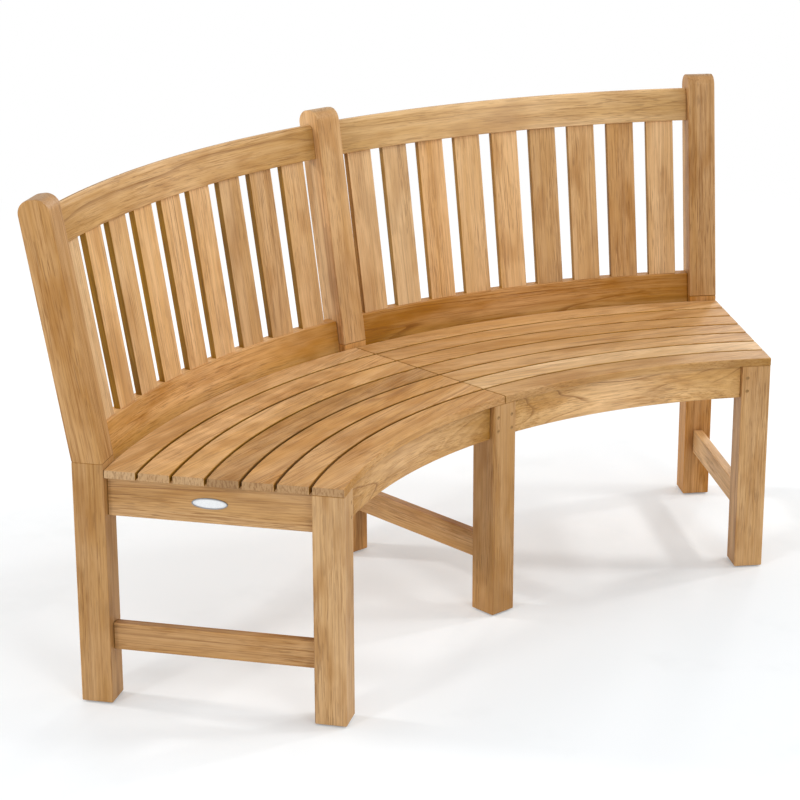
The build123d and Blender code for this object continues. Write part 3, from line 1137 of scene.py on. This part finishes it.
        # A span is where its pattern starts and ends, and how much it covers at either.
        for share, paint in (
            (tree.span(clouds[0], 0.48, 0.68, 0, 0.72), self.amber),
            (tree.span(clouds[1], 0.50, 0.70, 0, 0.45), self.tan),
            (tree.span(clouds[2], 0.50, 0.70, 0, 0.55), self.pale),
            (tree.span(stripes, 0.50, 0.74, 0, 0.42), self.brown),
            (tree.product(late, figure, 0.16), self.brown),
            (tree.product(line, drawn, tree.span(patches[1], 0.36, 0.60, 0.2, 1)), self.brown),
            (tree.product(tree.span(fibres, 0.44, 0.68, 0, 0.72), coarse), self.fibre),
            (tree.span(bands, 0.66, 0.80, 0, 0.55), self.vein),
            (tree.product(pores, coarse, 0.40), self.vein),
            (tree.span(end, 0.12, 0.34, 0, 0.30), self.tan),
            (tree.span(end, 0.7, 0.95, 0, 0.80), tree.blend(hatch, self.end_grain, self.vein)),
        ):
            colour = tree.blend(share, colour, paint)
        # Edges and rounded ends are lighter: partly worn wood, partly a painted highlight.
        bright = tree.math("MULTIPLY_ADD", ease, self.edge_highlight_and_wear_gain, tree.math("ADD", tone, 1))
        rich = tree.math("MULTIPLY_ADD", warmth, self.warmth_richness, 1)
        # The skin's third value darkens and enriches the colour: painted shade in the gaps and
        # joints, and the pegs' own darker wood.
        values = {
            "Hue": tree.math("MULTIPLY_ADD", warmth, self.warmth_hue, 0.5),
            "Saturation": tree.math("MULTIPLY_ADD", dark, self.darkening_and_shade_richness, rich),
            "Value": tree.product(bright, tree.math("MULTIPLY_ADD", dark, self.darkening_and_shade_loss, 1)),
            "Color": colour,
        }
        finished = tree.add("ShaderNodeHueSaturation", values).outputs[0]
        roughness = tree.span(fibres, 0.3, 0.7, 0.46, 0.62)
        values = {"Base Color": finished, "Roughness": roughness, "Specular IOR Level": self.sheen}
        tree.feed("Principled BSDF", values)
        raised = tree.math("SUBTRACT", fibres, tree.product(pores, 0.6))
        tree.bump(tree.math("MULTIPLY_ADD", line, -0.3, raised), self.relief, 0.5)
        return tree.owner


@dataclass(frozen=True)
class MetalFinish:
    """Brushed metal with fine scratches along one direction."""

    name: str
    colour: Colour
    brushing: Triple
    smudge_scale: Triple = (90, 90, 90)
    smudging: float = 0.16
    roughness: float = 0.34
    dulling: float = 0.8
    scratch_depth: float = 0.00005
    tarnish: Colour = (0.16, 0.16, 0.165, 1)

    def material(self) -> bpy.types.Material:
        """Build the finish from stretched noise in the colour, the roughness and the relief.

        Where the piece has a border attribute, the metal is tarnished as far as it says.

        Returns:
            The material.
        """
        tree = Tree(bpy.data.materials.new(self.name))
        lines = tree.noise(tree.place(), self.brushing, 3, 0.7).outputs[0]
        smudge = tree.noise(tree.place(), self.smudge_scale, 2).outputs[0]
        dull = tuple(self.dulling * part for part in self.colour[:3]) + (1,)
        worn = tree.blend(tree.span(lines, 0.3, 0.7, 0, 1), dull, self.colour)
        border = tree.attribute("border").outputs["Fac"]
        smooth = self.roughness - self.smudging / 2
        roughness = tree.math("MULTIPLY_ADD", smudge, self.smudging, smooth)
        colour = tree.blend(border, worn, self.tarnish)
        values = {"Base Color": colour, "Roughness": roughness, "Metallic": 1}
        tree.feed("Principled BSDF", values)
        tree.bump(lines, self.scratch_depth, 0.3)
        return tree.owner


@dataclass(frozen=True)
class PlasticFinish:
    """Moulded grey plastic with a fine grain and scuffs."""

    name: str = "glide_plastic"
    colour: Colour = (0.30, 0.30, 0.295, 1)
    scuffed: Colour = (0.46, 0.455, 0.44, 1)
    grain_scale: Triple = (2200, 2200, 2200)
    grain_depth: float = 0.0001
    scuff_scale: Triple = (160, 160, 160)

    def material(self) -> bpy.types.Material:
        """Build the finish from a fine grain and larger scuffs.

        Returns:
            The material.
        """
        tree = Tree(bpy.data.materials.new(self.name))
        pebble = tree.noise(tree.place(), self.grain_scale, 2).outputs[0]
        scuff = tree.noise(tree.place(), self.scuff_scale, 4, 0.7).outputs[0]
        colour = tree.blend(tree.span(scuff, 0.5, 0.7, 0, 1), self.colour, self.scuffed)
        roughness = tree.span(scuff, 0.3, 0.7, 0.5, 0.75)
        tree.feed("Principled BSDF", {"Base Color": colour, "Roughness": roughness})
        tree.bump(pebble, self.grain_depth, 0.4)
        return tree.owner


@dataclass(frozen=True)
class FloorFinish:
    """Near-white studio floor that fades to a white background."""

    paint: Colour = (0.88, 0.925, 0.965, 1)
    smudge: Colour = (0.845, 0.89, 0.928, 1)
    smudge_scale: Triple = (3.5, 3.5, 3.5)
    lift: float = 0.20
    fade_start: float = 1.6
    fade_end: float = 3.6

    def material(self) -> bpy.types.Material:
        """Build the finish: matt paint with faint smudges, and white towards the far edge.

        Returns:
            The material.
        """
        tree = Tree(bpy.data.materials.new("studio_floor"))
        place = tree.place()
        marks = tree.noise(place, self.smudge_scale, 4, 0.6).outputs[0]
        paint = tree.blend(tree.span(marks, 0.52, 0.7, 0, 1), self.paint, self.smudge)
        matt = tree.add("ShaderNodeBsdfDiffuse", {"Color": paint}).outputs[0]
        white = tree.add("ShaderNodeEmission").outputs[0]
        length = tree.add("ShaderNodeVectorMath", {0: place}, operation="LENGTH").outputs["Value"]
        far = tree.span(length, self.fade_start, self.fade_end, self.lift, 1)
        rays = tree.add("ShaderNodeLightPath").outputs
        seen = tree.math("MAXIMUM", rays["Is Camera Ray"], rays["Is Glossy Ray"])
        mixed = tree.add("ShaderNodeMixShader", {0: tree.product(far, seen), 1: matt, 2: white})
        tree.feed("Material Output", {"Surface": mixed.outputs[0]})
        return tree.owner


@dataclass
class Fittings:
    """Pegs, dowels, battens, screws, glides and the blank plate."""

    workshop: Workshop
    pin_radius: float = 0.004
    pin_edge: float = 0.0008
    pin_darkness: float = 1.0
    pin_end_darkness: Pair = (0.7, 0.7)
    peg_length: float = 0.038
    peg_proud: float = 0.0003
    peg_across: float = 0.0175
    peg_heights: Pair = (0.3765, 0.4035)
    dowel_limits: Pair = (0.416, 0.438)
    middle_dowel_offset: float = 0.006
    batten_width: float = 0.045
    batten_thickness: float = 0.022
    batten_limits: Pair = (0.9802, 1.3885)
    batten_edge: float = 0.002
    batten_end_edge: float = 0.0004
    plate_middle: Triple = (0.012, 1.186, 0.391)
    plate_size: Pair = (0.065, 0.020)
    plate_points: int = 72
    plate_sharp_angle: float = 50

    def pin(self, angle: float, place: Triple, axis: int, length: float) -> tuple[Surface, Grain]:
        """Turn a pin.

        Args:
            angle: Turn of its frame.
            place: Where it starts: across the frame, along its radius, and up.
            axis: Which of the three it runs along.
            length: Its length.

        Returns:
            Its surface and grain.
        """
        first, second, along = np.roll(np.eye(3), -axis - 1, 0)
        path = StraightPath(first, second, along, 0, length, place)
        stations = Stations.between(self.pin_edge, self.pin_edge, spans=2)
        surface = path.carry(Outline.circle(self.pin_radius), stations).turned(angle)
        first, second, along = np.roll(directions(angle), -axis - 1, 0)
        return surface, Grain(surface.points.reshape(-1, 3).mean(0), along, first, second)

    def pins(self) -> None:
        """Make the pegs, which stand a little proud of the front legs, and the hidden dowels.

        The middle frame has both for each bay, and an end frame has them for its one bay.
        """
        parts = []
        reach = PLAN.front_radius - self.peg_proud
        low, high = self.dowel_limits
        for side in Side:
            angle = side.value * PLAN.sweep
            for facing in (-1, 1):
                if facing == side.value:
                    continue
                for height in self.peg_heights:
                    place = (facing * self.peg_across, reach, height)
                    parts.append(self.pin(angle, place, 1, self.peg_length))
                across = facing * self.middle_dowel_offset if side is Side.MIDDLE else 0.0
                for index in range(PLAN.slat_count):
                    radius = PLAN.slat_front(index) + PLAN.slat_width / 2
                    parts.append(self.pin(angle, (across, radius, low), 2, high - low))
        ends = self.pin_end_darkness
        self.workshop.board("wooden_pins", parts, Cut.QUARTER, self.pin_darkness, ends)

    def battens(self) -> None:
        """Make the battens under the seat slats, halfway along each bay."""
        half, top, end = self.batten_width / 2, PLAN.seat_underside, self.batten_end_edge
        levels = (top - self.batten_thickness, top)
        outline = Outline.bar((-half, half), levels, self.batten_edge, end)
        path = StraightPath(ACROSS, UP, OUTWARD, *self.batten_limits)
        surface = path.carry(outline, Stations.between(end, end, spans=8))
        parts = []
        for side in (Side.LEFT, Side.RIGHT):
            angle = side.value * PLAN.sweep / 2
            across, outward, up = directions(angle)
            parts.append((surface.turned(angle), Grain(top * up, outward, across, up)))
        self.workshop.board("seat_battens", parts, Cut.FLAT)

    def plate(self) -> None:
        """Make the blank oval plate on the outer face of the left end's side apron.

        Rings run from its edge over a raised rim to its middle. A point of a ring drawn in by d
        and shrunk by s lies at the angle t of the oval at (s (a - d) cos t, s (b - d) sin t),
        with a and b the half length and half height.
        """
        drawn = np.array([0.2, 0, 0, 0.25, 0.8, 1.3, 1.55, 1.7, 2.3, 2.3, 2.3, 2.3, 2.3])
        height = np.array([0, 0.2, 1.45, 1.68, 1.7, 1.66, 1.45, 1.12, 1.15, 1.21, 1.26, 1.29, 1.3])
        shrunk = np.array([1, 1, 1, 1, 1, 1, 1, 1, 1, 0.8, 0.55, 0.3, 0.08])
        tarnish = np.array([1, 1, 1, 0.9, 0.5, 0.9, 1, 1, 0.25, 0, 0, 0, 0])
        turn = np.arange(self.plate_points) * 2 * np.pi / self.plate_points
        cosine, sine = (np.tile(wave(turn), (len(drawn), 1)) for wave in (np.cos, np.sin))
        half = np.array(self.plate_size) / 2 - drawn[:, None] * MILLIMETRE
        along, upward = (shrunk * half.T)[..., None] * [cosine, sine]
        face, middle, level = self.plate_middle
        outward = np.tile(-face - height[:, None] * MILLIMETRE, self.plate_points)
        points = np.stack([outward, middle + along, level + upward], -1)
        normals = np.stack([np.zeros_like(sine), cosine, sine], -1)
        surface = Surface(points, normals, np.zeros_like(sine)).turned(-PLAN.sweep)
        world = surface.points.reshape(-1, 3) + np.array([0, PLAN.centre_y, 0])
        mesh = bpy.data.meshes.new("end_plate_metal")
        mesh.from_pydata(world.tolist(), [], surface.faces())
        attribute = mesh.attributes.new("border", "FLOAT", "POINT")
        border = np.repeat(tarnish, self.plate_points).astype(np.float32)
        attribute.data.foreach_set("value", border)
        silver = MetalFinish("plate_silver", (0.90, 0.905, 0.91, 1), (300, 300, 2600))
        mesh.materials.append(silver.material())
        self.workshop.install(mesh, "end_plate", "plate")
        mesh.set_sharp_from_angle(angle=np.radians(self.plate_sharp_angle))

    def dress(self, nodes: dict[str, bpy.types.Object]) -> None:
        """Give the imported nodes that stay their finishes.

        Args:
            nodes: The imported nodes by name.
        """
        steel = MetalFinish("screw_steel", (0.56, 0.55, 0.53, 1), (900, 900, 900))
        for name, finish in (("batten_screws", steel), ("foot_glides", PlasticFinish())):
            mesh = nodes[name].data
            mesh.materials.clear()
            mesh.materials.append(finish.material())
            log.info("%s keeps its packed shape", name)

    def build(self, nodes: dict[str, bpy.types.Object]) -> None:
        """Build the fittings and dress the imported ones.

        Args:
            nodes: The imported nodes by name.
        """
        self.pins()
        self.battens()
        self.plate()
        self.dress(nodes)


@dataclass(frozen=True)
class SoftLamp:
    """Square soft lamp, placed by the direction it hangs in as seen from the bench."""

    name: str
    azimuth: float
    elevation: float
    size: float
    power: float
    distance: float = 8.0
    colour: Triple = (1.03, 1.0, 0.965)


@dataclass
class Studio:
    """Camera, floor, lamps and background."""

    camera_place: Triple = (-3.01767, -3.24582, 1.83469)
    camera_azimuth: float = -41.992
    camera_elevation: float = 18.063
    camera_roll: float = -0.157
    camera_reach: float = 60.0
    lens: float = 107.78
    sensor: float = 36.0
    floor_size: float = 14.0
    room_light: float = 0.64
    lamp_aim: Triple = (0.0, 0.0, 0.2)
    lamps: tuple[SoftLamp, ...] = (
        SoftLamp("right_lamp", 344, 42, 0.6, 86),
        SoftLamp("front_right_lamp", 322, 44, 1.0, 90),
        SoftLamp("low_right_lamp", 332, 22, 1.0, 42),
        SoftLamp("rear_left_lamp", 127, 30, 0.8, 188),
        SoftLamp("left_lamp", 187, 24, 1.0, 118),
        SoftLamp("rear_right_lamp", 27, 13, 1.0, 115),
        SoftLamp("front_lamp", 256, 32, 1.8, 92),
        SoftLamp("upper_lamp", 62, 45, 2.4, 40),
    )

    def camera(self) -> None:
        """Set the camera: its back points from the bench towards it, by azimuth and elevation."""
        angles = self.camera_azimuth, self.camera_elevation, self.camera_roll
        turn, rise, roll = np.radians(angles)
        back = Vector((np.sin(turn) * np.cos(rise), -np.cos(turn) * np.cos(rise), np.sin(rise)))
        right = Vector((np.cos(turn), np.sin(turn), 0))
        up = back.cross(right)
        level = right * np.cos(roll) + up * np.sin(roll)
        upright = up * np.cos(roll) - right * np.sin(roll)
        data = bpy.data.cameras.new("camera")
        data.lens, data.sensor_width, data.clip_end = self.lens, self.sensor, self.camera_reach
        camera = bpy.data.objects.new("camera", data)
        matrix = Matrix((level, upright, back)).transposed().to_4x4()
        matrix.translation = self.camera_place
        camera.matrix_world = matrix
        bpy.context.scene.collection.objects.link(camera)
        bpy.context.scene.camera = camera

    def floor(self) -> None:
        """Lay the floor under the glides."""
        half = self.floor_size / 2
        mesh = bpy.data.meshes.new("floor")
        corners = [(-half, -half, 0), (half, -half, 0), (half, half, 0), (-half, half, 0)]
        mesh.from_pydata(corners, [], [(0, 1, 2, 3)])
        mesh.materials.append(FloorFinish().material())
        floor = bpy.data.objects.new("floor", mesh)
        bpy.context.scene.collection.objects.link(floor)
        floor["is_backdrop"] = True

    def hang(self, lamp: SoftLamp) -> None:
        """Hang a lamp that faces the bench, at its distance along its direction.

        Args:
            lamp: The lamp.
        """
        turn, rise = np.radians([lamp.azimuth, lamp.elevation])
        toward = Vector((np.cos(turn) * np.cos(rise), np.sin(turn) * np.cos(rise), np.sin(rise)))
        data = bpy.data.lights.new(lamp.name, "AREA")
        data.size, data.energy, data.color = lamp.size, lamp.power, lamp.colour
        hung = bpy.data.objects.new(lamp.name, data)
        hung.location = Vector(self.lamp_aim) + toward * lamp.distance
        hung.rotation_euler = (-toward).to_track_quat("-Z", "Y").to_euler()
        bpy.context.scene.collection.objects.link(hung)

    def light(self) -> None:
        """Hang the lamps and light the background, which the camera sees as plain white."""
        for lamp in self.lamps:
            self.hang(lamp)
        world = bpy.data.worlds.new("studio")
        bpy.context.scene.world = world
        tree = Tree(world)
        rays = tree.add("ShaderNodeLightPath").outputs
        seen = tree.math("ADD", rays["Is Camera Ray"], rays["Is Glossy Ray"])
        values = {"Value": seen, "To Min": self.room_light, "To Max": 1.0}
        strength = tree.add("ShaderNodeMapRange", values).outputs[0]
        tree.feed("Background", {"Color": (1.0, 1.0, 1.0, 1), "Strength": strength})

    def build(self) -> None:
        """Set up the whole studio."""
        self.camera()
        self.floor()
        self.light()
        bpy.context.scene.view_settings.view_transform = "Standard"


def main() -> None:
    """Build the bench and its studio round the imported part."""
    logging.basicConfig(level=logging.INFO, format="%(name)s: %(message)s")
    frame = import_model()
    cad_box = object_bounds()
    workshop = Workshop(Sawmill(), TeakFinish().material())
    for side in Side:
        TimberFrame(side, workshop).build()
    for side in (Side.LEFT, Side.RIGHT):
        CurvedBay(side, workshop).build()
    Fittings(workshop).build(frame["nodes"])
    Studio().build()
    boxes = {"cad": cad_box, "visual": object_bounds()}
    boxes = {name: [list(corner) for corner in box] for name, box in boxes.items()}
    log.info("visual box %s", boxes["visual"])


if __name__ == "__main__":
    main()
